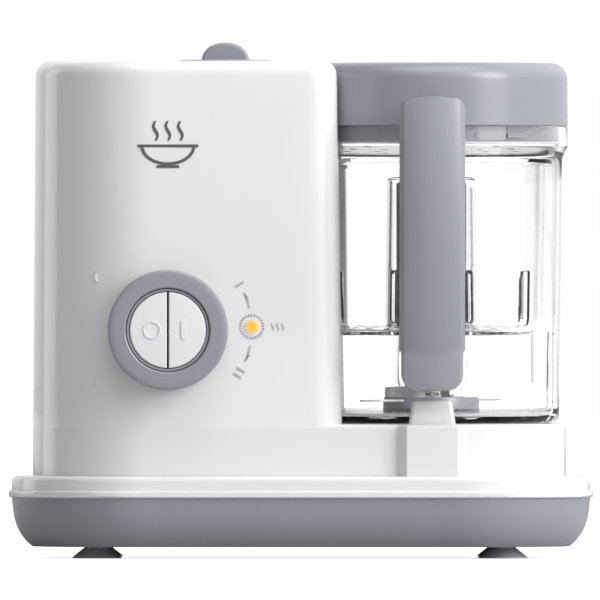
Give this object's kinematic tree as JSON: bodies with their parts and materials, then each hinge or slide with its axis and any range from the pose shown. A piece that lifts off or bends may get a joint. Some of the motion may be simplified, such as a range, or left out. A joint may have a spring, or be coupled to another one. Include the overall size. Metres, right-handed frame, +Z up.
{
  "type": "baby food maker",
  "caption": "Countertop steamer and blender with a boiler tower, screw-capped filler, control dial with push buttons, and a lift-out clear jar with steaming basket, blade and bayonet lid.",
  "frame": {"origin": "on the table plane, below the centre of the base", "axes": "+X to the right seen from the front, +Y to the back, +Z up; the controls face -Y"},
  "size_m": [0.2774, 0.2025, 0.2449],
  "materials": {
    "white_plastic": "gloss",
    "grey_plastic": "satin",
    "clear_plastic": "clear",
    "frosted_plastic": "translucent",
    "black_plastic": "matte",
    "silicone": "satin",
    "dark_rubber": "matte",
    "foot_rubber": "satin",
    "steel": "brushed",
    "bronze": "sintered",
    "laminations": "varnished",
    "copper": "enamelled",
    "aluminium_plate": "satin",
    "circuit_green": "satin",
    "relay_blue": "satin",
    "amber": "lit",
    "white_cable": "satin",
    "red_sleeve": "satin"
  },
  "bodies": {
    "base": {"base_screws": "steel", "base_tray": "grey_plastic", "board_components": "relay_blue", "boiler_screws": "steel", "boiler_seal": "silicone", "boiler_stand": "black_plastic", "boiler_tank": "frosted_plastic", "brush_holders": "black_plastic", "control_board": "circuit_green", "control_frame": "grey_plastic", "control_screws": "steel", "cord_grommet": "dark_rubber", "cord_tie": "dark_rubber", "field_coils": "copper", "heater_element": "aluminium_plate", "heater_plate": "aluminium_plate", "housing": "white_plastic", "indicator_led": "amber", "indicator_lens": "amber", "motor_bearings": "steel", "motor_brackets": "steel", "motor_mounts": "dark_rubber", "motor_screws": "steel", "motor_stator": "laminations", "power_cord": "white_cable", "power_plug": "white_cable", "rear_cover": "white_plastic", "rear_screws": "steel", "spindle_seal": "dark_rubber", "steam_hose": "silicone", "steam_nozzle": "silicone", "suction_feet": "foot_rubber", "switches": "black_plastic", "thermostat": "black_plastic", "wiring": "red_sleeve"},
    "drive": {"motor_shaft": "steel", "armature": "laminations", "commutator": "copper", "cooling_fan": "black_plastic", "drive_coupling": "black_plastic"},
    "dial": {"dial": "grey_plastic", "dial_cam": "black_plastic"},
    "off_button": {"off_button": "white_plastic"},
    "on_button": {"on_button": "white_plastic"},
    "cap_seal": {"cap_seal": "silicone"},
    "water_cap": {"water_cap": "grey_plastic"},
    "jar": {"jar": "clear_plastic", "handle": "grey_plastic", "handle_screw": "steel", "shaft_bushes": "bronze"},
    "blade": {"blade_hub": "frosted_plastic", "blade_collar": "grey_plastic", "blade": "steel", "blade_clamp": "steel", "jar_shaft": "steel", "jar_coupling": "black_plastic"},
    "basket": {"steam_basket": "frosted_plastic"},
    "lid_seal": {"lid_seal": "silicone"},
    "lid": {"lid": "grey_plastic", "lid_inner": "white_plastic"}
  },
  "joints": [
    {"name": "jar_lift", "type": "slide", "parent": "base", "child": "jar", "axis": [0, 0, 1], "range_m": [0, 0.2]},
    {"name": "basket_lift", "type": "slide", "parent": "jar", "child": "basket", "axis": [0, 0, 1], "range_m": [0, 0.11]},
    {"name": "lid_lift", "type": "slide", "parent": "basket", "child": "lid_seal", "axis": [0, 0, 1], "range_m": [0, 0.08]},
    {"name": "lid_twist", "type": "hinge", "parent": "lid_seal", "child": "lid", "pos_m": [0.062, 0.006, 0.2], "axis": [0, 0, 1], "range_deg": [-15, 0]},
    {"name": "drive_spin", "type": "hinge", "parent": "base", "child": "drive", "pos_m": [0.062, 0.006, 0.03], "axis": [0, 0, 1], "continuous": true},
    {"name": "blade_spin", "type": "hinge", "parent": "jar", "child": "blade", "pos_m": [0.062, 0.006, 0.12], "axis": [0, 0, 1], "continuous": true},
    {"name": "dial_turn", "type": "hinge", "parent": "base", "child": "dial", "pos_m": [-0.0629, -0.088, 0.1081], "axis": [0, -1, 0], "range_deg": [-30, 30], "stiffness_Nm_per_rad": 0.02},
    {"name": "off_button_press", "type": "slide", "parent": "base", "child": "off_button", "axis": [0, 1, 0], "range_m": [0, 0.0018], "stiffness_N_per_m": 400, "springref_m": -0.002},
    {"name": "on_button_press", "type": "slide", "parent": "base", "child": "on_button", "axis": [0, 1, 0], "range_m": [0, 0.0018], "stiffness_N_per_m": 400, "springref_m": -0.002},
    {"name": "cap_turn", "type": "hinge", "parent": "cap_seal", "child": "water_cap", "pos_m": [-0.036, 0.014, 0.235], "axis": [0, 0, 1], "range_deg": [0, 541]},
    {"name": "cap_rise", "type": "slide", "parent": "base", "child": "cap_seal", "axis": [0, 0, 1], "range_m": [0, 0.012]}
  ],
  "couplings": [
    {"joint": "blade_spin", "follows": "drive_spin", "ratio": 1},
    {"joint": "cap_turn", "follows": "cap_rise", "rad_per_m": 785.4}
  ]
}
